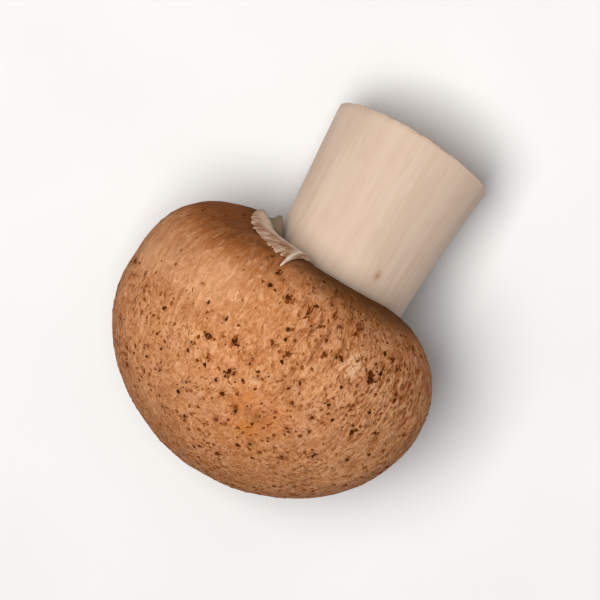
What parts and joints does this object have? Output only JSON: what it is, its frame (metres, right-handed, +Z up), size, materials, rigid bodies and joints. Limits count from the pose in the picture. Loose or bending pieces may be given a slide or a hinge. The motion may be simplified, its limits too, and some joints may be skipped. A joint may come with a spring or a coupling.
{
  "type": "button mushroom",
  "caption": "Brown button mushroom lying on its side: a closed domed cap with a rolled-in margin, gills beneath it, torn veil remnants and a thick pale stem cut off flat.",
  "frame": {"origin": "on the ground, under the middle of the mushroom's box", "axes": "+Z up; +X horizontally from the cut end of the stem towards the crown of the cap; the stem's axis rises about 20 degrees towards +X"},
  "size_m": [0.0676, 0.056, 0.0539],
  "materials": {
    "brown_skin": "satin, fibrous skin of the cap with small dark scales",
    "pale_stem": "matt, finely streaked along its length",
    "pink_gills": "matt and soft",
    "cream_veil": "matt, thin and slightly translucent"
  },
  "bodies": {
    "root": {"cap": "brown_skin", "gills": "pink_gills", "stem": "pale_stem", "veil": "cream_veil"}
  },
  "joints": []
}
